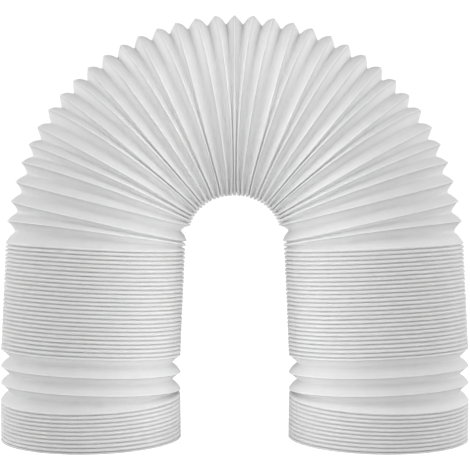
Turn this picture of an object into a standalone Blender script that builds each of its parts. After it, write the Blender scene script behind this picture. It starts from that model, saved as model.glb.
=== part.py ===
"""Exhaust hose of a portable air conditioner: one blow-moulded bellows of white
polypropylene, bent into an arch and standing on its two open ends.

Every fold is a closed ring round the duct, not a helix. A fold snaps open or
closed and then stays so. From the floor up, each leg has a short closed stack,
three open folds and a tall closed stack. The arch has folds that are open on
the outside of the bend and closed on the inside, and they gather unevenly at
the front. The two halves mirror each other.

Metres, +Z up, +X across the two legs, +Y away from the front.
"""

from collections import namedtuple
from math import cos, pi, radians, sin

import bmesh
import bpy
from mathutils import Euler, Vector

# The moulded wall
CREST_DIAMETER = 0.150
FOLD_DEPTH = 0.0075
WALL = 0.0008
FLANK_SLOPE = radians(45)
SIDES = 20

# How deep the groove between two closed folds is, seen from outside
CLOSED_GROOVE = 0.003

# How far apart two crests stand, measured on the middle line of the duct
CLOSED_PITCH = 0.0034
OPEN_PITCH = 0.0142
HALF_OPEN_PITCH = 0.0094
SHOULDER_PITCH = 0.0106
SHOULDER_OPEN_PITCH = 0.0148

# Folds in each leg, from the floor up
LOWER_STACK_FOLD_COUNT = 10
OPEN_FOLD_COUNT = 2
TALL_STACK_FOLD_COUNT = 26

# The arch, from the top of a leg to the crown
SHOULDER_FOLD_COUNT = 2
CROWN_FOLD_COUNT = 15
BEND_RADIUS = 0.1134
SHOULDER_OPEN_TURN = radians(1.4)

# The shares of a step that are kept in x, y and z: on a straight or round line, in the
# open folds of a leg, which stand plumb, and in the crown, which sags a little
WHOLE = (1.0, 1.0, 1.0)
PLUMB = (0.0, 1.0, 1.0)
SAGGING = (1.0, 1.0, 0.951)

# How far the front of each crest of the arch runs ahead of its sides, towards the
# crown, from the first crest above the leg to the crown itself
ARCH_LEADS = (
    0.0036, 0.0012, 0.0012, 0.0051, 0.0049, 0.0034, 0.0081, 0.0039, 0.0065,
    0.0018, 0.0042, 0.0058, 0.0029, 0.0062, 0.0016, 0.0048, 0.0052, 0.0,
)
# The back lags by less than the front leads: 0 is as much, 1 is not at all
BACK_CALM = 0.5

# Lean of the stacks inwards, across the legs, and forwards, towards the front
LOWER_STACK_LEAN = radians(-0.8)
TALL_STACK_LEAN = radians(2.6)
LOWER_STACK_NOD = radians(1.7)
TALL_STACK_FOOT_NOD = radians(-2.1)
TALL_STACK_TOP_NOD = radians(-0.3)

WHITE = (0.80, 0.80, 0.79, 1.0)
ROUGHNESS = 0.48

CREST_RADIUS = CREST_DIAMETER / 2
VALLEY_RADIUS = CREST_RADIUS - FOLD_DEPTH
WALL_INWARDS = WALL / cos(FLANK_SLOPE)

# A ring round the duct: its centre, its lean, its nod and how far its front leads
Ring = namedtuple("Ring", "at lean nod lead")


def clear_scene():
    for thing in list(bpy.data.objects):
        bpy.data.objects.remove(thing, do_unlink=True)


class Walk:
    """A walk along the middle line of the duct that notes each crest on its way."""

    def __init__(self):
        self.at = Vector((0, 0, 0))
        self.lean = 0.0
        self.nod = 0.0
        self.crests = [Ring(self.at, self.lean, self.nod, 0.0)]

    def go(self, folds, pitch, lean, nod, kept=WHOLE):
        """Takes so many folds, and turns evenly to the new lean and nod on the way."""
        lean_step = (lean - self.lean) / folds
        nod_step = (nod - self.nod) / folds
        for _ in range(folds):
            heading = facing(self.lean + lean_step / 2, self.nod + nod_step / 2)
            self.at = self.at + (heading @ Vector((0, 0, pitch))) * Vector(kept)
            self.lean += lean_step
            self.nod += nod_step
            self.crests.append(Ring(self.at, self.lean, self.nod, 0.0))


def facing(lean, nod):
    """The turn that takes a level ring to a ring with this lean and nod."""
    return Euler((0, lean, 0)).to_matrix() @ Euler((nod, 0, 0)).to_matrix()


def bend_pitch(turn):
    """The straight step between two crests that stand this turn apart on the bend."""
    return 2 * BEND_RADIUS * sin(turn / 2)


def left_crests():
    """Every crest of the left half, from the rim on the floor to the crown."""
    bend_turn = pi / 2 - TALL_STACK_LEAN - SHOULDER_OPEN_TURN
    turn = bend_turn / (SHOULDER_FOLD_COUNT + CROWN_FOLD_COUNT)
    shoulder_lean = TALL_STACK_LEAN + SHOULDER_FOLD_COUNT * turn

    walk = Walk()
    walk.go(LOWER_STACK_FOLD_COUNT, CLOSED_PITCH, LOWER_STACK_LEAN, LOWER_STACK_NOD)
    walk.go(1, HALF_OPEN_PITCH, TALL_STACK_LEAN, TALL_STACK_FOOT_NOD)
    walk.go(OPEN_FOLD_COUNT, OPEN_PITCH, TALL_STACK_LEAN, TALL_STACK_FOOT_NOD, PLUMB)
    walk.go(TALL_STACK_FOLD_COUNT, CLOSED_PITCH, TALL_STACK_LEAN, TALL_STACK_TOP_NOD)
    walk.go(SHOULDER_FOLD_COUNT, SHOULDER_PITCH, shoulder_lean, 0)
    walk.go(1, SHOULDER_OPEN_PITCH, shoulder_lean + SHOULDER_OPEN_TURN, 0)
    walk.go(CROWN_FOLD_COUNT, bend_pitch(turn), pi / 2, 0, SAGGING)

    to_middle = Vector((walk.at.x, 0, 0))
    crests = [crest._replace(at=crest.at - to_middle) for crest in walk.crests]
    arch_starts = len(crests) - len(ARCH_LEADS)
    arch = [
        crest._replace(lead=lead)
        for crest, lead in zip(crests[arch_starts:], ARCH_LEADS)
    ]
    return crests[:arch_starts] + arch


def mirrored(ring):
    """The same ring on the right leg, where the walk goes down."""
    at = Vector((-ring.at.x, ring.at.y, ring.at.z))
    return Ring(at, pi - ring.lean, -ring.nod, -ring.lead)


def all_crests():
    """The left half, then its mirror image from the crown down to the right rim."""
    left = left_crests()
    return left + [mirrored(crest) for crest in left[-2::-1]]


def closed_folds():
    """For each fold from rim to rim, whether it lies in a closed stack."""
    half = (
        [True] * LOWER_STACK_FOLD_COUNT
        + [False] * (1 + OPEN_FOLD_COUNT)
        + [True] * TALL_STACK_FOLD_COUNT
        + [False] * (SHOULDER_FOLD_COUNT + 1 + CROWN_FOLD_COUNT)
    )
    return half + half[::-1]


def points_round(ring, radius):
    """The points of one ring, of this radius, with its front moved along the duct."""
    turn = facing(ring.lean, ring.nod)
    points = []
    for side in range(SIDES):
        angle = 2 * pi * side / SIDES
        front = -sin(angle)
        along = ring.lead * front * (1 + BACK_CALM * front) / (1 + BACK_CALM)
        across = (radius * cos(angle), radius * sin(angle), along)
        points.append(ring.at + turn @ Vector(across))
    return points


def between(first, second):
    """The valley midway between two crests."""
    return Ring(*((one + other) / 2 for one, other in zip(first, second)))


def outer_and_inner_rings():
    """The rings of the outer face from rim to rim, and those of the duct's face."""
    crests = all_crests()
    closed = closed_folds()
    duct_radius = VALLEY_RADIUS - WALL_INWARDS
    outer = [points_round(crests[0], CREST_RADIUS)]
    inner = [points_round(crests[0], duct_radius)]
    for fold, in_stack in enumerate(closed):
        here, ahead = crests[fold], crests[fold + 1]
        last = fold == len(closed) - 1
        next_in_stack = in_stack if last else closed[fold + 1]
        depth = CLOSED_GROOVE if in_stack else FOLD_DEPTH
        outer.append(points_round(between(here, ahead), CREST_RADIUS - depth))
        outer.append(points_round(ahead, CREST_RADIUS))
        if not in_stack:
            inner.append(points_round(between(here, ahead), duct_radius))
            inner.append(points_round(ahead, CREST_RADIUS - WALL_INWARDS))
        if in_stack != next_in_stack or last:
            inner.append(points_round(ahead, duct_radius))
        if in_stack and not next_in_stack:
            inner.append(points_round(ahead, CREST_RADIUS - WALL_INWARDS))
    return outer, inner


def centred_on_floor(outer, inner):
    """The same rings with the middle of their box above the origin, and the rims at z = 0."""
    points = [point for ring_points in outer for point in ring_points]
    low = Vector(min(point[i] for point in points) for i in range(3))
    high = Vector(max(point[i] for point in points) for i in range(3))
    shift = Vector(((low.x + high.x) / 2, (low.y + high.y) / 2, low.z))
    return [[[p - shift for p in one] for one in rings] for rings in (outer, inner)]


def skin(mesh, rings):
    """Faces between each ring and the next. Gives the two end rings back."""
    made = [[mesh.verts.new(point) for point in one] for one in rings]
    for near, far in zip(made, made[1:]):
        bridge(mesh, near, far)
    return made[0], made[-1]


def bridge(mesh, near, far):
    for side in range(SIDES):
        after = (side + 1) % SIDES
        mesh.faces.new((near[side], near[after], far[after], far[side]))


def white_polypropylene():
    material = bpy.data.materials.new("white_polypropylene")
    material.use_nodes = True
    surface = material.node_tree.nodes["Principled BSDF"]
    surface.inputs["Base Color"].default_value = WHITE
    surface.inputs["Roughness"].default_value = ROUGHNESS
    surface.inputs["Metallic"].default_value = 0.0
    return material


def make_hose():
    outer, inner = centred_on_floor(*outer_and_inner_rings())
    mesh = bmesh.new()
    outer_ends = skin(mesh, outer)
    inner_ends = skin(mesh, inner)
    for outside, inside in zip(outer_ends, inner_ends):
        bridge(mesh, outside, inside)
    bmesh.ops.triangulate(mesh, faces=mesh.faces)
    bmesh.ops.recalc_face_normals(mesh, faces=mesh.faces)
    data = bpy.data.meshes.new("exhaust_hose")
    mesh.to_mesh(data)
    mesh.free()
    data.shade_smooth()
    data.set_sharp_from_angle(angle=radians(30))
    data.materials.append(white_polypropylene())
    hose = bpy.data.objects.new("exhaust_hose", data)
    bpy.context.scene.collection.objects.link(hose)
    return hose


clear_scene()
make_hose()
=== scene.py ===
"""Looks of the exhaust hose of a portable air conditioner.

The plain solid keeps its place and size, and one bellows wall of white polypropylene
is shown for it. The wall follows the same crests as the solid, which a walk up the left
leg and over the bend sets out. Between two crests it follows the drawn section of one
fold, which changes with how far the two crests stand apart at that side of the duct.

Metres, +Z up, +X across the two legs, +Y away from the front.
"""

from collections import namedtuple
from math import pi, radians, sin

import bmesh
import bpy
from mathutils import Euler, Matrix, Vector


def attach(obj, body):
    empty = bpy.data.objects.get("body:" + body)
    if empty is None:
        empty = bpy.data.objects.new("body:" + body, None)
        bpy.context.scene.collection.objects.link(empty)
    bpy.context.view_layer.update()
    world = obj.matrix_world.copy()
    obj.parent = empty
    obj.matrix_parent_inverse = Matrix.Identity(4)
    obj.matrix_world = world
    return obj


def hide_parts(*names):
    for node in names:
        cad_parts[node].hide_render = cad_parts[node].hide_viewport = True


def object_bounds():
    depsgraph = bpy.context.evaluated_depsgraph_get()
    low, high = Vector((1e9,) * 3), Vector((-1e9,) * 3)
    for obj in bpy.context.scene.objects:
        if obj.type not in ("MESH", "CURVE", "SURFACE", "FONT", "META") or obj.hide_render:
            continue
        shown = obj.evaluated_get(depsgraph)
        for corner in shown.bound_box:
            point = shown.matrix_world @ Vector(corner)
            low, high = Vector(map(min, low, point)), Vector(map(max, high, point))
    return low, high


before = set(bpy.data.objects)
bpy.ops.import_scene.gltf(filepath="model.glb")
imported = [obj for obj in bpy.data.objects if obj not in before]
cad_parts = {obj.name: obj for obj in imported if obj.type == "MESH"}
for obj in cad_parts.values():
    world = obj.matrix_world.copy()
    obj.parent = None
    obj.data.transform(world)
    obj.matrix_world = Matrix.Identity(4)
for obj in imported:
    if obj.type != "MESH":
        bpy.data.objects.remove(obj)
CAD_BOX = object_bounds()

MM = 0.001

# The same sizes as the solid has
CREST_RADIUS = 0.075
CLOSED_PITCH = 0.0034
HALF_OPEN_PITCH = 0.0094
OPEN_PITCH = 0.0142
SHOULDER_PITCH = 0.0106
SHOULDER_OPEN_PITCH = 0.0148
LOWER_STACK_FOLD_COUNT = 10
OPEN_FOLD_COUNT = 2
TALL_STACK_FOLD_COUNT = 26
SHOULDER_FOLD_COUNT = 2
CROWN_FOLD_COUNT = 15
BEND_RADIUS = 0.1134
SHOULDER_OPEN_TURN = radians(1.4)
LOWER_STACK_LEAN = radians(-0.8)
TALL_STACK_LEAN = radians(2.6)
LOWER_STACK_NOD = radians(1.7)
TALL_STACK_FOOT_NOD = radians(-2.1)
TALL_STACK_TOP_NOD = radians(-0.3)

# The shares of a step that are kept in x, y and z: on a straight or round line, in the
# open folds of a leg, which stand plumb, and in the crown, which sags a little
WHOLE = (1.0, 1.0, 1.0)
PLUMB = (0.0, 1.0, 1.0)
SAGGING = (1.0, 1.0, 0.951)

# How far the front of each crest of the arch runs ahead of its sides, towards the
# crown, from the first crest above the leg to the crown itself
ARCH_LEADS = (
    0.0036, 0.0012, 0.0012, 0.0051, 0.0049, 0.0034, 0.0081, 0.0039, 0.0065,
    0.0018, 0.0042, 0.0058, 0.0029, 0.0062, 0.0016, 0.0048, 0.0052, 0.0,
)
# The back lags by less than the front leads: 0 is as much, 1 is not at all
BACK_CALM = 0.5

# How much deeper the first groove over the lower stack is where it is nearly closed,
# how fast that fades towards its open side, and how strong the painted shade in it is
# between two depths
LOWER_STACK_PINCH = 0.9
PINCH_FADE = 6.0
PINCH_SHADE = 1.8
PINCH_SHADE_FROM_DEPTH = 0.001
PINCH_SHADE_TO_DEPTH = 0.004

# How full the flanks of open folds are at the two sides of the duct, where 0 is slack.
# In the arch that grows from none at this crest, over so many crests.
LEG_SWELL = 1.0
ARCH_SWELL = 2.2
ARCH_SWELL_FROM_CREST = 3
ARCH_SWELL_OVER_CRESTS = 2.5

# The section of one fold at three pitches, in millimetres: how far along from the
# crest behind it, how deep under the crests, and how far a swell of 1 lifts it. The
# first point is the top of the crest behind and the last is that of the crest ahead.
DRAWN_PITCHES = (3.4, 7.5, 14.2)
SECTION = (
    ((0.00, 0.00, 0.0), (0.00, 0.00, 0.0), (0.00, 0.00, 0.0)),
    ((0.55, 0.10, 0.0), (0.25, 0.04, 0.0), (0.30, 0.04, 0.0)),
    ((0.95, 0.36, 0.0), (0.50, 0.48, 0.0), (0.62, 0.48, 0.1)),
    ((1.18, 0.95, 0.0), (1.25, 1.25, 0.0), (1.60, 1.16, 0.25)),
    ((1.32, 1.80, 0.0), (2.25, 2.45, 0.0), (3.60, 2.80, 0.4)),
    ((1.46, 2.60, 0.0), (3.00, 3.75, 0.0), (5.40, 4.70, 0.3)),
    ((1.58, 3.15, 0.0), (3.60, 4.75, 0.0), (6.65, 6.25, -0.1)),
    ((1.70, 3.30, 0.0), (4.20, 5.15, 0.0), (7.60, 7.00, -0.25)),
    ((1.82, 3.15, 0.0), (4.80, 4.95, 0.0), (8.75, 6.75, 0.2)),
    ((1.94, 2.60, 0.0), (5.45, 4.20, 0.0), (10.20, 5.60, 0.6)),
    ((2.08, 1.80, 0.0), (6.10, 3.15, 0.0), (11.70, 4.00, 0.7)),
    ((2.22, 0.95, 0.0), (6.70, 2.00, 0.0), (13.00, 2.25, 0.45)),
    ((2.45, 0.36, 0.0), (7.17, 1.00, 0.0), (13.80, 1.15, 0.35)),
    ((2.85, 0.10, 0.0), (7.33, 0.08, 0.0), (13.99, 0.08, 0.0)),
    ((3.40, 0.00, 0.0), (7.50, 0.00, 0.0), (14.20, 0.00, 0.0)),
)
# How much painted highlight, above 0, as on the top of a crest and its edge towards the
# crown, or painted shade, under 0, as on its edge towards the leg and all over a closed
# fold, each of these points gets
PAINTED_LIGHT_MARKS = (0.3, 1.0, 0.5, 0.0, 0.0, 0.0, 0.0, 0.0, 0.0, 0.0, 0.0, -0.4, -1.0, -0.4, 0.3)
PAINTED_LIGHT_MARKS_OF_CLOSED_FOLDS = (-0.8, -0.8, -0.8, -0.6, -0.8, -0.8, -0.8)
# The share of the marks that shows where the folds are closed
CLOSED_EDGE_SHARE = 0.3
# The closed folds need only these points of the section
SECTION_OF_CLOSED_FOLDS = tuple(SECTION[i] for i in (0, 2, 4, 7, 10, 12, 14))
# The section of the face towards the air
DUCT_SECTION = (
    ((0.00, 5.60, 0.0), (0.00, 1.60, 0.0), (0.00, 1.20, 0.0)),
    ((1.00, 8.40, 0.0), (2.30, 4.20, 0.0), (3.80, 3.90, 0.0)),
    ((1.70, 8.63, 0.0), (4.20, 7.30, 0.0), (7.75, 8.30, 0.0)),
    ((2.40, 8.40, 0.0), (5.90, 5.40, 0.0), (11.00, 5.80, 0.0)),
    ((3.40, 5.60, 0.0), (7.50, 1.60, 0.0), (14.20, 1.20, 0.0)),
)
# The same in the first fold at a rim, which ends in a thin lip
RIM_DUCT_SECTION = (
    ((0.0, 1.0, 0.0),) * 3,
    ((0.9, 3.6, 0.0),) * 3,
    ((1.9, 6.9, 0.0),) * 3,
    ((2.6, 8.4, 0.0),) * 3,
    ((3.4, 5.6, 0.0),) * 3,
)

SIDES = 64
# How unevenly the crests stand, how far the wall wobbles between them, and the heights
# over the floor where both reach their full amount, because the rims stand flat
RIB_DRIFT = 0.00012
RIB_TILT = radians(0.10)
WOBBLE = 0.00025
WOBBLE_SIZE = 0.05
EVEN_CRESTS_HEIGHT = 0.004
EVEN_WALL_HEIGHT = 0.01
SEED = 7
# How far apart two seeds are in the noise
SEED_STRIDE = 1.7
# Points of the wall that are closer than this are one
WELD = 0.00001

# Smooth noise: the size of its patches in metres, its finer layers and their strength
Noise = namedtuple("Noise", "size layers strength", defaults=(0.5,))
# Patches of it, which grow from none at the lower to full at the upper value of the noise
Patches = namedtuple("Patches", "noise none full")

# White polypropylene, with clouds in it, streaks along the duct and uneven gloss
WHITE = (0.84, 0.84, 0.84)
DUCT_WHITE = (0.80, 0.80, 0.80, 1.0)
ROUGHNESS = 0.54
REFRACTION = 1.49
SUBSURFACE = 0.35
SUBSURFACE_REACH = 0.003
MOTTLE = 0.016
CLOUDS = Noise(0.018, 4.0, 0.62)
STREAKS = Noise(0.004, 2.0, 0.55)
STREAK_STRETCH = 0.12
GLOSS = Noise(0.012, 3.0)
GLOSS_SPREAD = 0.20
# Dust in the folds
DUST_FROM_DEPTH = 0.0035
DUST_TO_DEPTH = 0.0075
DUST_PATCHES = Patches(Noise(0.014, 3.0, 0.6), 0.35, 0.65)
# Its grey is also the colour of the painted shade on the crests and in the closed and pinched
# grooves
DUST_AND_SHADE_COLOUR = (0.58, 0.58, 0.58, 1.0)
DUST_AMOUNT = 0.04
DUST_ROUGHER = 0.15
# The crests' edges: a painted highlight in patches on the side of the crown, and painted
# shade on the side of the leg, over the closed stacks and in the pinched groove
HIGHLIGHT_WHITE = (0.94, 0.94, 0.94, 1.0)
EDGE_HIGHLIGHT = 0.8
HIGHLIGHT_PATCHES = Patches(Noise(0.03, 2.0), 0.3, 0.6)
EDGE_SHADE = 0.65
# Crests rubbed by handling
RUB_REACH = 0.0006
RUB_PATCHES = Patches(Noise(0.02, 2.0), 0.4, 0.6)
RUB_SMOOTHER = 0.10
# Fine relief of the skin: grain, flow lines along the duct and shallow dents
GRAIN = Noise(0.0009, 2.0)
GRAIN_HEIGHT = 0.00003
FLOW = Noise(0.003, 3.0)
FLOW_HEIGHT = 0.00006
DENTS = Noise(0.012, 1.0)
DENT_HEIGHT = 0.00025
# The parting line of the mould, which passes the front of each leg near its inner edge
# and shows down to this depth under the crests
LINE_WAY = (0.93, -0.36, 0.0)
LINE_HALF_WIDTH = 0.0011
LINE_HEIGHT = 0.0001
LINE_DEPTH = 0.0012
LINE_SHADE = 0.3
LINE_COLOUR = (0.45, 0.45, 0.45, 1.0)

CAMERA_AT = (0.0003, -0.9956, 0.1958)
CAMERA_DIP = radians(1.535)
LENS = 91.03
SENSOR_WIDTH = 36.0

# How bright the white tent round the object is at its sides, behind and on top
TENT_SIDES = 2.2
TENT_BACK = 0.03
TENT_TOP = 0.2
# The soft lights in it: where each stands, where it aims, its width and height, and its
# power. Those of LIGHT_PAIRS stand there twice, the second one mirrored.
Light = namedtuple("Light", "name at aim width height power")
LIGHTS = (
    Light("front_strip", (0, -0.30, 0.19), (0, 0, 0.19), 0.08, 0.36, 0.096),
    Light("top_front_softbox", (0, -0.70, 0.90), (0, 0, 0.20), 0.80, 0.40, 0.71),
)
LIGHT_PAIRS = (
    Light("between_legs", (0, -0.08, 0.09), (1, -0.08, 0.09), 0.10, 0.17, 0.027),
    Light("under_crown", (0, -0.20, 0.27), (1, -0.20, 0.27), 0.16, 0.17, 0.019),
    Light("over_crown", (0, -0.25, 0.46), (0.15, 0, 0.20), 0.20, 0.10, 0.067),
    Light("outer_softbox", (-0.90, 0, 0.30), (-0.10, 0, 0.20), 0.60, 0.60, 0.14),
)
# What the camera sees of the tent, and the white floor, which glows for the camera alone
SEEN_TENT = 1.05
FLOOR_HALF_WIDTH = 6.0
FLOOR_WHITE = (0.92, 0.92, 0.92, 1.0)
FLOOR_ROUGHNESS = 0.9
FLOOR_GLOW = 0.7

# A point of the wall's section: the number of its fold, its drawn places at the three
# pitches, its mark of painted highlight (above 0) or painted shade (under 0), and 1 if
# it is on the duct's side
Station = namedtuple("Station", "fold drawn mark duct_side")

# A ring round the duct: its centre, its lean, its nod, how far its front leads, how full
# the flanks are at its two sides, and by what share the grooves beside it are deeper at
# the inner side
Ring = namedtuple("Ring", "at lean nod lead swell pinch", defaults=(0.0, 0.0, 0.0))


class Walk:
    """A walk along the middle line of the duct that notes each crest on its way."""

    def __init__(self):
        self.at = Vector((0, 0, 0))
        self.lean = 0.0
        self.nod = 0.0
        self.crests = [Ring(self.at, self.lean, self.nod)]

    def go(self, folds, pitch, lean, nod, kept=WHOLE):
        """Takes so many folds, and turns evenly to the new lean and nod on the way."""
        lean_step = (lean - self.lean) / folds
        nod_step = (nod - self.nod) / folds
        for _ in range(folds):
            heading = facing(self.lean + lean_step / 2, self.nod + nod_step / 2)
            self.at = self.at + (heading @ Vector((0, 0, pitch))) * Vector(kept)
            self.lean += lean_step
            self.nod += nod_step
            self.crests.append(Ring(self.at, self.lean, self.nod))


def facing(lean, nod):
    """The turn that takes a level ring to a ring with this lean and nod."""
    return Euler((0, lean, 0)).to_matrix() @ Euler((nod, 0, 0)).to_matrix()


def bend_pitch(turn):
    """The straight step between two crests that stand this turn apart on the bend."""
    return 2 * BEND_RADIUS * sin(turn / 2)


def left_crests():
    """Every crest of the left half, from the rim on the floor to the crown."""
    bend_turn = pi / 2 - TALL_STACK_LEAN - SHOULDER_OPEN_TURN
    turn = bend_turn / (SHOULDER_FOLD_COUNT + CROWN_FOLD_COUNT)
    shoulder_lean = TALL_STACK_LEAN + SHOULDER_FOLD_COUNT * turn

    walk = Walk()
    walk.go(LOWER_STACK_FOLD_COUNT, CLOSED_PITCH, LOWER_STACK_LEAN, LOWER_STACK_NOD)
    walk.go(1, HALF_OPEN_PITCH, TALL_STACK_LEAN, TALL_STACK_FOOT_NOD)
    walk.go(OPEN_FOLD_COUNT, OPEN_PITCH, TALL_STACK_LEAN, TALL_STACK_FOOT_NOD, PLUMB)
    walk.go(TALL_STACK_FOLD_COUNT, CLOSED_PITCH, TALL_STACK_LEAN, TALL_STACK_TOP_NOD)
    walk.go(SHOULDER_FOLD_COUNT, SHOULDER_PITCH, shoulder_lean, 0)
    walk.go(1, SHOULDER_OPEN_PITCH, shoulder_lean + SHOULDER_OPEN_TURN, 0)
    walk.go(CROWN_FOLD_COUNT, bend_pitch(turn), pi / 2, 0, SAGGING)

    to_middle = Vector((walk.at.x, 0, 0))
    return shaped([crest._replace(at=crest.at - to_middle) for crest in walk.crests])


def shaped(crests):
    """The same crests with their leads and swells, and with the pinched one."""
    open_starts = LOWER_STACK_FOLD_COUNT
    open_ends = open_starts + 1 + OPEN_FOLD_COUNT
    for place in range(open_starts, open_ends + 1):
        crests[place] = crests[place]._replace(swell=LEG_SWELL)
    crests[open_starts] = crests[open_starts]._replace(pinch=LOWER_STACK_PINCH)

    arch_starts = len(crests) - len(ARCH_LEADS)
    for place, lead in enumerate(ARCH_LEADS):
        grown = (place - ARCH_SWELL_FROM_CREST) / ARCH_SWELL_OVER_CRESTS
        swell = ARCH_SWELL * min(1.0, max(0.0, grown))
        crest = crests[arch_starts + place]
        crests[arch_starts + place] = crest._replace(lead=lead, swell=swell)
    return crests


def mirrored(ring):
    """The same ring on the right leg, where the walk goes down."""
    at = Vector((-ring.at.x, ring.at.y, ring.at.z))
    return ring._replace(at=at, lean=pi - ring.lean, nod=-ring.nod, lead=-ring.lead)


def all_crests():
    """The left half, then its mirror image from the crown down to the right rim."""
    left = left_crests()
    return left + [mirrored(crest) for crest in left[-2::-1]]


def closed_folds_of_half():
    """For each fold from the left rim to the crown, whether it lies in a closed stack."""
    return (
        [True] * LOWER_STACK_FOLD_COUNT
        + [False] * (1 + OPEN_FOLD_COUNT)
        + [True] * TALL_STACK_FOLD_COUNT
        + [False] * (SHOULDER_FOLD_COUNT + 1 + CROWN_FOLD_COUNT)
    )


def turned_round(section):
    """The section of a fold on the right half, where the walk comes from the crown."""
    pitches = [state[0] for state in section[-1]]
    return [
        tuple(
            (pitch - along, deep, swell)
            for pitch, (along, deep, swell) in zip(pitches, point)
        )
        for point in reversed(section)
    ]


def stations():
    """Every point of the wall's section as a Station: along the outside from the left
    rim to the right one, and back along the duct."""
    closed = closed_folds_of_half()
    half = len(closed)
    outside = []
    for fold in range(2 * half):
        on_left = fold < half
        in_stack = closed[fold] if on_left else closed[2 * half - 1 - fold]
        section = SECTION_OF_CLOSED_FOLDS if in_stack else SECTION
        marks = PAINTED_LIGHT_MARKS_OF_CLOSED_FOLDS if in_stack else PAINTED_LIGHT_MARKS
        if not on_left:
            section, marks = turned_round(section), marks[::-1]
        for point, mark in zip(section[:-1], marks):
            outside.append(Station(fold, point, mark, 0.0))
    last = 2 * half - 1
    outside.append(Station(last, turned_round(SECTION)[-1], 0.0, 0.0))

    inside = []
    for fold in range(2 * half):
        section = DUCT_SECTION if fold < half else turned_round(DUCT_SECTION)
        if fold == 0:
            section = RIM_DUCT_SECTION
        if fold == last:
            section = turned_round(RIM_DUCT_SECTION)
        inside += [Station(fold, point, 0.0, 1.0) for point in section[:-1]]
    inside.append(Station(last, turned_round(RIM_DUCT_SECTION)[-1], 0.0, 1.0))
    return outside + inside[::-1] + outside[:1]


def points_object(name, places, facts):
    """An object of loose points, each with the facts of this name and kind."""
    data = bpy.data.meshes.new(name)
    data.from_pydata(places, [], [])
    for fact, (kind, values) in facts.items():
        attribute = data.attributes.new(fact, kind, "POINT")
        if kind == "FLOAT_VECTOR":
            flat = [number for value in values for number in value]
            attribute.data.foreach_set("vector", flat)
        else:
            attribute.data.foreach_set("value", list(values))
    thing = bpy.data.objects.new(name, data)
    bpy.context.scene.collection.objects.link(thing)
    return thing


class Maker:
    """Puts nodes into a tree and joins them, so that a formula reads in one line."""

    def __init__(self, tree):
        self.tree = tree

    def node(self, kind, *inputs, **settings):
        made = self.tree.nodes.new(kind)
        for name, value in settings.items():
            setattr(made, name, value)
        open_sockets = [socket for socket in made.inputs if socket.enabled]
        for socket, value in zip(open_sockets, inputs):
            self.feed(socket, value)
        return made

    def feed(self, socket, value):
        if isinstance(value, bpy.types.NodeSocket):
            self.tree.links.new(value, socket)
        elif value is not None:
            socket.default_value = value

    def result(self, kind, *inputs, **settings):
        made = self.node(kind, *inputs, **settings)
        return next(socket for socket in made.outputs if socket.enabled)

    def math(self, operation, *values):
        return self.result("ShaderNodeMath", *values, operation=operation)

    def vector(self, operation, *values):
        return self.result("ShaderNodeVectorMath", *values, operation=operation)

    def scaled(self, vector, factor):
        made = self.node("ShaderNodeVectorMath", operation="SCALE")
        self.feed(made.inputs["Vector"], vector)
        self.feed(made.inputs["Scale"], factor)
        return made.outputs["Vector"]

    def mixed(self, factor, first, second, data_type="FLOAT"):
        made = self.node("ShaderNodeMix", factor, first, second, data_type=data_type)
        return next(socket for socket in made.outputs if socket.enabled)

    def share(self, value, low, high):
        """0 at low, 1 at high, and held at these outside them."""
        return self.result("ShaderNodeMapRange", value, low, high, 0.0, 1.0, clamp=True)

    def combined(self, x, y, z):
        return self.result("ShaderNodeCombineXYZ", x, y, z)

    def separated(self, vector):
        return self.node("ShaderNodeSeparateXYZ", vector).outputs

    def named(self, name, data_type):
        made = self.node("GeometryNodeInputNamedAttribute", name, data_type=data_type)
        return made.outputs["Attribute"]

    def sampled(self, geometry, name, data_type, index):
        """The named fact of the point of this number in a geometry."""
        made = self.node("GeometryNodeSampleIndex", data_type=data_type, clamp=True)
        self.feed(made.inputs["Geometry"], geometry)
        self.feed(made.inputs["Value"], self.named(name, data_type))
        self.feed(made.inputs["Index"], index)
        return made.outputs["Value"]


def new_tree(name, kind, inputs, outputs):
    """A node tree with these sockets, its Maker, and its input and output nodes."""
    tree = bpy.data.node_groups.new(name, kind)
    for direction, sockets in (("INPUT", inputs), ("OUTPUT", outputs)):
        for socket_name, socket_kind in sockets:
            tree.interface.new_socket(socket_name, in_out=direction, socket_type=socket_kind)
    make = Maker(tree)
    given = make.node("NodeGroupInput").outputs
    out = make.node("NodeGroupOutput").inputs
    return tree, make, given, out


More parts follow.
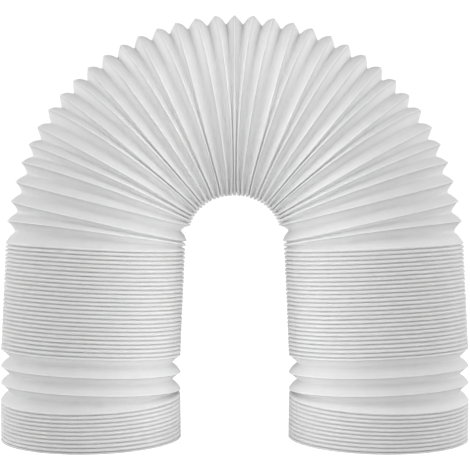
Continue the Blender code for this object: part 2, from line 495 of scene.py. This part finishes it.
def bellows_tree():
    """The wall of the bellows, laid over its crest rings by the drawn section."""
    tree, make, given, out = new_tree(
        "bellows wall",
        "GeometryNodeTree",
        [
            ("Crest rings", "NodeSocketGeometry"),
            ("Section", "NodeSocketObject"),
            ("Sides", "NodeSocketInt"),
            ("Crest radius", "NodeSocketFloat"),
            ("Closed pitch", "NodeSocketFloat"),
            ("Middle pitch", "NodeSocketFloat"),
            ("Open pitch", "NodeSocketFloat"),
            ("Back calm", "NodeSocketFloat"),
            ("Closed edge share", "NodeSocketFloat"),
            ("Pinch fade", "NodeSocketFloat"),
            ("Pinch dirt", "NodeSocketFloat"),
            ("Pinch dirt from depth", "NodeSocketFloat"),
            ("Pinch dirt to depth", "NodeSocketFloat"),
            ("Rib drift", "NodeSocketFloat"),
            ("Rib tilt", "NodeSocketFloat"),
            ("Even crests height", "NodeSocketFloat"),
            ("Wobble", "NodeSocketFloat"),
            ("Wobble size", "NodeSocketFloat"),
            ("Even wall height", "NodeSocketFloat"),
            ("Weld", "NodeSocketFloat"),
            ("Seed", "NodeSocketInt"),
            ("Material", "NodeSocketMaterial"),
        ],
        [("Wall", "NodeSocketGeometry")],
    )
    section = make.node("GeometryNodeObjectInfo", given["Section"]).outputs["Geometry"]
    rows = make.node("GeometryNodeAttributeDomainSize", section).outputs["Point Count"]
    columns = make.math("ADD", given["Sides"], 1.0)
    sheet = make.node("GeometryNodeMeshGrid", 1.0, 1.0, columns, rows).outputs["Mesh"]

    # The sheet's points are numbered up each column. The half keeps the number of the
    # first point of a column from being rounded down into the column before.
    index = make.node("GeometryNodeInputIndex").outputs["Index"]
    column = make.math("FLOOR", make.math("DIVIDE", make.math("ADD", index, 0.5), rows))
    row = make.math("SUBTRACT", index, make.math("MULTIPLY", column, rows))
    side = make.math("FLOORED_MODULO", column, given["Sides"])
    angle = make.math("DIVIDE", make.math("MULTIPLY", side, 2 * pi), given["Sides"])
    across, depthways = make.math("COSINE", angle), make.math("SINE", angle)

    point, facts = wall_point(make, given, section, row, across, depthways)
    wall = make.node("GeometryNodeSetPosition", sheet)
    make.feed(wall.inputs["Position"], wobbled(make, given, point))
    wall = wall.outputs["Geometry"]
    for name, kind, value in facts:
        stored = make.node(
            "GeometryNodeStoreNamedAttribute", wall, data_type=kind, domain="POINT"
        )
        make.feed(stored.inputs["Name"], name)
        make.feed(stored.inputs["Value"], value)
        wall = stored.outputs["Geometry"]

    welded = make.node("GeometryNodeMergeByDistance", wall)
    make.feed(welded.inputs["Distance"], given["Weld"])
    smooth = make.result("GeometryNodeSetShadeSmooth", welded.outputs["Geometry"])
    real = make.result("GeometryNodeRealizeInstances", smooth)
    finished = make.node("GeometryNodeSetMaterial", real)
    make.feed(finished.inputs["Material"], given["Material"])
    make.feed(out["Wall"], finished.outputs["Geometry"])
    return tree


def wall_point(make, given, section, row, across, depthways):
    """Where the wall is at this row of the section and this side of the duct, and the
    facts of that point that the material reads."""
    fold = make.sampled(section, "fold", "INT", row)
    behind = crest_point(make, given, fold, across, depthways)
    ahead = crest_point(make, given, make.math("ADD", fold, 1.0), across, depthways)
    pitch = make.vector("DISTANCE", behind["point"], ahead["point"])

    closed, middle, open_ = (
        make.sampled(section, name, "FLOAT_VECTOR", row)
        for name in ("closed", "middle", "open")
    )
    to_middle = make.share(pitch, given["Closed pitch"], given["Middle pitch"])
    to_open = make.share(pitch, given["Middle pitch"], given["Open pitch"])
    drawn = make.mixed(to_middle, closed, middle, "VECTOR")
    drawn = make.mixed(to_open, drawn, open_, "VECTOR")
    along, deep, swell = make.separated(drawn)[:3]
    drawn_pitch = make.math("MINIMUM", pitch, given["Open pitch"])
    drawn_pitch = make.math("MAXIMUM", drawn_pitch, given["Closed pitch"])
    share = make.math("DIVIDE", along, drawn_pitch)

    fullness = make.mixed(share, behind["swell"], ahead["swell"])
    fullness = make.math("MULTIPLY", fullness, make.math("ABSOLUTE", across))
    duct_side = make.sampled(section, "duct_side", "FLOAT", row)
    inner_end = make.math("POWER", make.math("MAXIMUM", across, 0.0), given["Pinch fade"])
    pinch = make.mixed(share, behind["pinch"], ahead["pinch"])
    pinch = make.math("MULTIPLY", pinch, inner_end)
    pinch = make.math("MULTIPLY", pinch, make.math("SUBTRACT", 1.0, duct_side))
    deep = make.math("MULTIPLY", deep, make.math("ADD", 1.0, pinch))

    lift = make.math("SUBTRACT", make.math("MULTIPLY", fullness, swell), deep)
    outwards = make.mixed(share, behind["outwards"], ahead["outwards"], "VECTOR")
    point = make.mixed(share, behind["point"], ahead["point"], "VECTOR")
    point = make.vector("ADD", point, make.scaled(outwards, lift))

    # The marks of painted light: painted highlight above 0 and painted shade below 0, a
    # smaller share of both where the folds are closed, and painted shade added in the pinched
    # groove
    room = make.mixed(to_middle, given["Closed edge share"], 1.0)
    edge = make.math("MULTIPLY", make.sampled(section, "edge", "FLOAT", row), room)
    low = make.share(deep, given["Pinch dirt from depth"], given["Pinch dirt to depth"])
    painted_shade = make.math("MULTIPLY", make.math("MULTIPLY", pinch, low), given["Pinch dirt"])
    edge = make.math("SUBTRACT", edge, painted_shade)

    length = make.math("MULTIPLY", make.math("ADD", fold, share), given["Middle pitch"])
    straight = make.scaled(make.combined(across, depthways, 0.0), given["Crest radius"])
    straight = make.vector("ADD", straight, make.combined(0.0, 0.0, length))
    facts = (
        ("edge", "FLOAT", edge),
        ("fold_depth", "FLOAT", deep),
        ("duct_side", "FLOAT", duct_side),
        ("straight_place", "FLOAT_VECTOR", straight),
    )
    return point, facts


def wobbled(make, given, point):
    """The point moved a little by smooth noise round 0.5, and less so near the floor."""
    wobble = make.node("ShaderNodeTexNoise", noise_dimensions="4D", normalize=True)
    make.feed(wobble.inputs["Vector"], point)
    make.feed(wobble.inputs["W"], make.math("MULTIPLY", given["Seed"], SEED_STRIDE))
    make.feed(wobble.inputs["Scale"], make.math("DIVIDE", 1.0, given["Wobble size"]))
    make.feed(wobble.inputs["Detail"], 1.0)
    off = make.vector("SUBTRACT", wobble.outputs["Color"], (0.5, 0.5, 0.5))
    loose = make.share(make.separated(point)[2], 0.0, given["Even wall height"])
    reach = make.math("MULTIPLY", make.math("MULTIPLY", given["Wobble"], 2.0), loose)
    return make.vector("ADD", point, make.scaled(off, reach))


def crest_point(make, given, number, across, depthways):
    """Where the crest of this number passes this side of the duct, which way is out
    there, how full its flanks are, and how much deeper the grooves beside it are."""
    rings = given["Crest rings"]
    at = make.sampled(rings, "at", "FLOAT_VECTOR", number)
    turn = make.sampled(rings, "turn", "FLOAT_VECTOR", number)
    lead = make.sampled(rings, "lead", "FLOAT", number)

    front = make.math("MULTIPLY", depthways, -1.0)
    calm = make.math("ADD", 1.0, make.math("MULTIPLY", front, given["Back calm"]))
    calm = make.math("DIVIDE", calm, make.math("ADD", 1.0, given["Back calm"]))
    along = make.math("MULTIPLY", lead, make.math("MULTIPLY", front, calm))

    random = make.node("FunctionNodeRandomValue", data_type="FLOAT_VECTOR")
    make.feed(random.inputs["Min"], (-1.0, -1.0, -1.0))
    make.feed(random.inputs["Max"], (1.0, 1.0, 1.0))
    make.feed(random.inputs["ID"], number)
    make.feed(random.inputs["Seed"], given["Seed"])
    chance_x, chance_y, chance_z = make.separated(random.outputs["Value"])[:3]
    tilt = make.math("MULTIPLY", make.math("MULTIPLY", chance_x, across), given["Rib tilt"])
    nod = make.math("MULTIPLY", make.math("MULTIPLY", chance_y, depthways), given["Rib tilt"])
    tilt = make.math("MULTIPLY", make.math("ADD", tilt, nod), given["Crest radius"])
    drift = make.math("MULTIPLY", chance_z, given["Rib drift"])
    off_floor = make.share(make.separated(at)[2], 0.0, given["Even crests height"])
    uneven = make.math("MULTIPLY", make.math("ADD", tilt, drift), off_floor)
    along = make.math("ADD", along, uneven)

    flat = make.combined(across, depthways, 0.0)
    outwards = make.node("ShaderNodeVectorRotate", rotation_type="EULER_XYZ")
    make.feed(outwards.inputs["Vector"], flat)
    make.feed(outwards.inputs["Rotation"], turn)
    reach = make.scaled(flat, given["Crest radius"])
    reach = make.vector("ADD", reach, make.combined(0.0, 0.0, along))
    turned = make.node("ShaderNodeVectorRotate", rotation_type="EULER_XYZ")
    make.feed(turned.inputs["Vector"], reach)
    make.feed(turned.inputs["Rotation"], turn)
    point = make.vector("ADD", at, turned.outputs["Vector"])
    return {
        "point": point,
        "outwards": outwards.outputs["Vector"],
        "swell": make.sampled(rings, "swell", "FLOAT", number),
        "pinch": make.sampled(rings, "pinch", "FLOAT", number),
    }


def set_inputs(modifier, values):
    """Gives a Geometry Nodes modifier its inputs by their names in the tree."""
    for item in modifier.node_group.interface.items_tree:
        if item.item_type == "SOCKET" and item.in_out == "INPUT" and item.name in values:
            modifier[item.identifier] = values[item.name]


def crest_rings():
    """The crests as loose points, set on the floor under the middle of the solid."""
    crests = all_crests()
    low, high = CAD_BOX
    shift = Vector((0, y_of_middle(crests) - (low.y + high.y) / 2, 0))
    places = [crest.at - shift for crest in crests]
    return points_object(
        "crest_rings",
        places,
        {
            "at": ("FLOAT_VECTOR", places),
            "turn": ("FLOAT_VECTOR", [(c.nod, c.lean, 0.0) for c in crests]),
            "lead": ("FLOAT", [c.lead for c in crests]),
            "swell": ("FLOAT", [c.swell for c in crests]),
            "pinch": ("FLOAT", [c.pinch for c in crests]),
        },
    )


def y_of_middle(crests):
    """How far back the middle of the crests' box lies."""
    reach = [
        crest.at.y + (facing(crest.lean, crest.nod) @ Vector((0, side * CREST_RADIUS, 0))).y
        for crest in crests
        for side in (-1, 1)
    ]
    return (min(reach) + max(reach)) / 2


def section_points():
    """The drawn section as loose points, one for each station along the wall."""
    made = stations()
    closed, middle, open_ = (
        [tuple(number * MM for number in station.drawn[pitch]) for station in made]
        for pitch in range(len(DRAWN_PITCHES))
    )
    return points_object(
        "fold_section",
        [(place * MM, 0.0, 0.0) for place in range(len(made))],
        {
            "fold": ("INT", [station.fold for station in made]),
            "closed": ("FLOAT_VECTOR", closed),
            "middle": ("FLOAT_VECTOR", middle),
            "open": ("FLOAT_VECTOR", open_),
            "duct_side": ("FLOAT", [station.duct_side for station in made]),
            "edge": ("FLOAT", [station.mark for station in made]),
        },
    )


def made_real(thing, name):
    """The evaluated mesh as a plain mesh of a new object, with its faces outwards."""
    depsgraph = bpy.context.evaluated_depsgraph_get()
    data = bpy.data.meshes.new_from_object(thing.evaluated_get(depsgraph))
    thing.modifiers.clear()
    data.name = name
    mesh = bmesh.new()
    mesh.from_mesh(data)
    bmesh.ops.recalc_face_normals(mesh, faces=mesh.faces)
    mesh.to_mesh(data)
    mesh.free()
    piece = bpy.data.objects.new(name, data)
    bpy.context.scene.collection.objects.link(piece)
    return piece


def noise(make, place, kind):
    """Smooth noise of this kind, round 0.5."""
    made = make.node("ShaderNodeTexNoise", noise_dimensions="3D", normalize=True)
    make.feed(made.inputs["Vector"], place)
    make.feed(made.inputs["Scale"], 1.0 / kind.size)
    make.feed(made.inputs["Detail"], kind.layers)
    make.feed(made.inputs["Roughness"], kind.strength)
    return made.outputs["Fac"]


def patches(make, place, kind):
    """1 on the patches of this kind and 0 between them."""
    return make.share(noise(make, place, kind.noise), kind.none, kind.full)


def mottle_group():
    """How much lighter or darker the plastic is at a place: clouds in it, and streaks
    along the duct. Both noises are round 0.5, so their sum is round 1."""
    tree, make, given, out = new_tree(
        "mottled plastic",
        "ShaderNodeTree",
        [("Place", "NodeSocketVector"), ("Straight place", "NodeSocketVector"),
         ("Amount", "NodeSocketFloat")],
        [("Shade", "NodeSocketFloat")],
    )
    clouds = noise(make, given["Place"], CLOUDS)
    stretched = make.vector("MULTIPLY", given["Straight place"], (1.0, 1.0, STREAK_STRETCH))
    streaks = noise(make, stretched, STREAKS)
    both = make.math("SUBTRACT", make.math("ADD", clouds, streaks), 1.0)
    both = make.math("MULTIPLY", both, make.math("MULTIPLY", given["Amount"], 2.0))
    make.feed(out["Shade"], make.math("ADD", both, 1.0))
    return tree


def dust_group():
    """Where dust has settled: in the valleys of the folds, in patches."""
    tree, make, given, out = new_tree(
        "dust in valleys",
        "ShaderNodeTree",
        [("Place", "NodeSocketVector"), ("Fold depth", "NodeSocketFloat"),
         ("From depth", "NodeSocketFloat"), ("To depth", "NodeSocketFloat")],
        [("Dust", "NodeSocketFloat")],
    )
    low = make.share(given["Fold depth"], given["From depth"], given["To depth"])
    settled = patches(make, given["Place"], DUST_PATCHES)
    make.feed(out["Dust"], make.math("MULTIPLY", low, settled))
    return tree


def rub_group():
    """Where handling has rubbed the crests smooth, with gaps between the rubbed parts."""
    tree, make, given, out = new_tree(
        "rubbed crests",
        "ShaderNodeTree",
        [("Place", "NodeSocketVector"), ("Fold depth", "NodeSocketFloat"),
         ("Reach", "NodeSocketFloat")],
        [("Rub", "NodeSocketFloat")],
    )
    high = make.share(given["Fold depth"], given["Reach"], 0.0)
    handled = patches(make, given["Place"], RUB_PATCHES)
    make.feed(out["Rub"], make.math("MULTIPLY", high, handled))
    return tree


def parting_group():
    """Where the two mould halves met: a fine line along the duct on two sides of it."""
    tree, make, given, out = new_tree(
        "parting line",
        "ShaderNodeTree",
        [("Straight place", "NodeSocketVector"), ("Line way", "NodeSocketVector"),
         ("Half width", "NodeSocketFloat")],
        [("Line", "NodeSocketFloat")],
    )
    aside = make.vector("CROSS_PRODUCT", given["Straight place"], given["Line way"])
    off = make.math("ABSOLUTE", make.separated(aside)[2])
    make.feed(out["Line"], make.share(off, given["Half width"], 0.0))
    return tree


def relief_group():
    """The fine relief of the moulded skin as a normal: its grain, flow lines, dents and
    parting line, with heights in metres."""
    tree, make, given, out = new_tree(
        "moulded skin",
        "ShaderNodeTree",
        [("Place", "NodeSocketVector"), ("Straight place", "NodeSocketVector"),
         ("Line", "NodeSocketFloat")],
        [("Normal", "NodeSocketVector")],
    )
    grain = make.math("MULTIPLY", noise(make, given["Place"], GRAIN), GRAIN_HEIGHT)
    stretched = make.vector("MULTIPLY", given["Straight place"], (1.0, 1.0, STREAK_STRETCH))
    flow = make.math("MULTIPLY", noise(make, stretched, FLOW), FLOW_HEIGHT)
    dents = make.math("MULTIPLY", noise(make, given["Place"], DENTS), DENT_HEIGHT)
    line = make.math("MULTIPLY", given["Line"], LINE_HEIGHT)
    height = make.math("ADD", make.math("ADD", grain, flow), make.math("ADD", dents, line))
    bump = make.node("ShaderNodeBump")
    make.feed(bump.inputs["Strength"], 1.0)
    make.feed(bump.inputs["Distance"], 1.0)
    make.feed(bump.inputs["Height"], height)
    make.feed(out["Normal"], bump.outputs["Normal"])
    return tree


def grouped(make, tree, values):
    """A group node with this tree, and its inputs fed by name. Gives its outputs back."""
    made = make.node("ShaderNodeGroup", node_tree=tree)
    for name, value in values.items():
        make.feed(made.inputs[name], value)
    return made.outputs


def white_polypropylene():
    """White translucent plastic: mottled, dusty in its folds, rubbed on top, with a painted
    highlight on the crests' tops and crown-side edges and painted shade on their leg-side
    edges, over the closed stacks and in the pinched groove."""
    material = bpy.data.materials.new("white_polypropylene")
    material.use_nodes = True
    make = Maker(material.node_tree)
    surface = material.node_tree.nodes["Principled BSDF"]
    place = make.node("ShaderNodeTexCoord").outputs["Object"]
    depth, duct_side, edge = (
        make.node("ShaderNodeAttribute", attribute_name=name).outputs["Fac"]
        for name in ("fold_depth", "duct_side", "edge")
    )
    straight = make.node("ShaderNodeAttribute", attribute_name="straight_place")
    straight = straight.outputs["Vector"]

    places = {"Place": place, "Straight place": straight}
    shade = grouped(make, mottle_group(), {**places, "Amount": MOTTLE})["Shade"]
    in_fold = {"Place": place, "Fold depth": depth}
    depths = {"From depth": DUST_FROM_DEPTH, "To depth": DUST_TO_DEPTH}
    dust = grouped(make, dust_group(), {**in_fold, **depths})["Dust"]
    rub = grouped(make, rub_group(), {**in_fold, "Reach": RUB_REACH})["Rub"]
    way = {"Line way": LINE_WAY, "Half width": LINE_HALF_WIDTH}
    line = grouped(make, parting_group(), {"Straight place": straight, **way})["Line"]
    line = make.math("MULTIPLY", line, make.share(depth, LINE_DEPTH, 0.0))
    normal = grouped(make, relief_group(), {**places, "Line": line})["Normal"]
    # Painted highlight on the crests' tops and their edges towards the crown, in patches, and
    # painted shade on their edges towards the leg, over the closed stacks and in the pinched
    # groove
    painted_highlight = make.math("MULTIPLY", make.math("MAXIMUM", edge, 0.0), EDGE_HIGHLIGHT)
    painted_highlight = make.math("MULTIPLY", painted_highlight, patches(make, place, HIGHLIGHT_PATCHES))
    painted_shade = make.math("MAXIMUM", make.math("MULTIPLY", edge, -1.0), 0.0)

    white = make.scaled(WHITE, shade)
    for share, colour in (
        (make.math("MULTIPLY", dust, DUST_AMOUNT), DUST_AND_SHADE_COLOUR),
        (make.math("MULTIPLY", line, LINE_SHADE), LINE_COLOUR),
        # The painted highlight, then the painted shade in the grey of the dust
        (painted_highlight, HIGHLIGHT_WHITE),
        (make.math("MULTIPLY", painted_shade, EDGE_SHADE), DUST_AND_SHADE_COLOUR),
        (duct_side, DUCT_WHITE),
    ):
        white = make.mixed(share, white, colour, "RGBA")
    unevenness = make.math("SUBTRACT", noise(make, place, GLOSS), 0.5)
    roughness = make.math("ADD", make.math("MULTIPLY", unevenness, GLOSS_SPREAD), ROUGHNESS)
    roughness = make.math("ADD", roughness, make.math("MULTIPLY", dust, DUST_ROUGHER))
    roughness = make.math("SUBTRACT", roughness, make.math("MULTIPLY", rub, RUB_SMOOTHER))
    make.feed(surface.inputs["Base Color"], white)
    make.feed(surface.inputs["Roughness"], roughness)
    make.feed(surface.inputs["Normal"], normal)
    surface.inputs["IOR"].default_value = REFRACTION
    surface.inputs["Subsurface Weight"].default_value = SUBSURFACE
    surface.inputs["Subsurface Radius"].default_value = (1.0, 1.0, 1.0)
    surface.inputs["Subsurface Scale"].default_value = SUBSURFACE_REACH
    return material


def make_hose():
    rings = crest_rings()
    section = section_points()
    modifier = rings.modifiers.new("bellows wall", "NODES")
    modifier.node_group = bellows_tree()
    set_inputs(
        modifier,
        {
            "Section": section,
            "Sides": SIDES,
            "Crest radius": CREST_RADIUS,
            "Closed pitch": DRAWN_PITCHES[0] * MM,
            "Middle pitch": DRAWN_PITCHES[1] * MM,
            "Open pitch": DRAWN_PITCHES[2] * MM,
            "Back calm": BACK_CALM,
            "Closed edge share": CLOSED_EDGE_SHARE,
            "Pinch fade": PINCH_FADE,
            "Pinch dirt": PINCH_SHADE,
            "Pinch dirt from depth": PINCH_SHADE_FROM_DEPTH,
            "Pinch dirt to depth": PINCH_SHADE_TO_DEPTH,
            "Rib drift": RIB_DRIFT,
            "Rib tilt": RIB_TILT,
            "Even crests height": EVEN_CRESTS_HEIGHT,
            "Wobble": WOBBLE,
            "Wobble size": WOBBLE_SIZE,
            "Even wall height": EVEN_WALL_HEIGHT,
            "Weld": WELD,
            "Seed": SEED,
            "Material": white_polypropylene(),
        },
    )
    hose = made_real(rings, "bellows_hose")
    for helper in (rings, section):
        bpy.data.objects.remove(helper, do_unlink=True)
    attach(hose, "root")
    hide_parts("exhaust_hose")
    return hose


def make_floor():
    data = bpy.data.meshes.new("studio_floor")
    corners = [
        (x * FLOOR_HALF_WIDTH, y * FLOOR_HALF_WIDTH, 0)
        for x, y in ((-1, -1), (1, -1), (1, 1), (-1, 1))
    ]
    data.from_pydata(corners, [], [(0, 1, 2, 3)])
    material = bpy.data.materials.new("studio_white")
    material.use_nodes = True
    surface = material.node_tree.nodes["Principled BSDF"]
    surface.inputs["Base Color"].default_value = FLOOR_WHITE
    surface.inputs["Roughness"].default_value = FLOOR_ROUGHNESS
    surface.inputs["Emission Color"].default_value = (1.0, 1.0, 1.0, 1.0)
    make = Maker(material.node_tree)
    seen = make.node("ShaderNodeLightPath").outputs["Is Camera Ray"]
    make.feed(surface.inputs["Emission Strength"], make.math("MULTIPLY", seen, FLOOR_GLOW))
    data.materials.append(material)
    floor = bpy.data.objects.new("studio_floor", data)
    bpy.context.scene.collection.objects.link(floor)


def add_light(light, side):
    """A soft light, or its mirror image where side is -1. The camera doesn't see it."""
    flip = Vector((side, 1, 1))
    at, aim = Vector(light.at) * flip, Vector(light.aim) * flip
    data = bpy.data.lights.new(light.name, "AREA")
    data.shape = "RECTANGLE"
    data.size, data.size_y = light.width, light.height
    data.energy = light.power
    lamp = bpy.data.objects.new(light.name, data)
    lamp.location = at
    lamp.rotation_euler = (aim - at).to_track_quat("-Z", "Y").to_euler()
    lamp.visible_camera = False
    bpy.context.scene.collection.objects.link(lamp)


def make_studio():
    """A white tent round the object, as bright on each side as given, and soft lights."""
    world = bpy.data.worlds.new("studio")
    bpy.context.scene.world = world
    world.use_nodes = True
    make = Maker(world.node_tree)
    background = world.node_tree.nodes["Background"]
    way = make.node("ShaderNodeTexCoord").outputs["Generated"]
    x, y, z = make.separated(way)[:3]
    tent = make.math("MULTIPLY", make.math("MULTIPLY", x, x), TENT_SIDES)
    for amount, strength in ((y, TENT_BACK), (z, TENT_TOP)):
        amount = make.math("MAXIMUM", amount, 0.0)
        amount = make.math("MULTIPLY", amount, amount)
        tent = make.math("ADD", tent, make.math("MULTIPLY", amount, strength))
    seen = make.node("ShaderNodeLightPath").outputs["Is Camera Ray"]
    make.feed(background.inputs["Strength"], make.mixed(seen, tent, SEEN_TENT))
    background.inputs["Color"].default_value = (1.0, 1.0, 1.0, 1.0)
    for light in LIGHTS:
        add_light(light, 1)
    for light in LIGHT_PAIRS:
        add_light(light, 1)
        add_light(light, -1)


def make_camera():
    data = bpy.data.cameras.new("camera")
    data.lens = LENS
    data.sensor_width = SENSOR_WIDTH
    camera = bpy.data.objects.new("camera", data)
    camera.location = CAMERA_AT
    camera.rotation_euler = (pi / 2 - CAMERA_DIP, 0, 0)
    bpy.context.scene.collection.objects.link(camera)
    bpy.context.scene.camera = camera


make_camera()
make_hose()
make_floor()
make_studio()
bpy.context.scene.view_settings.view_transform = "Standard"
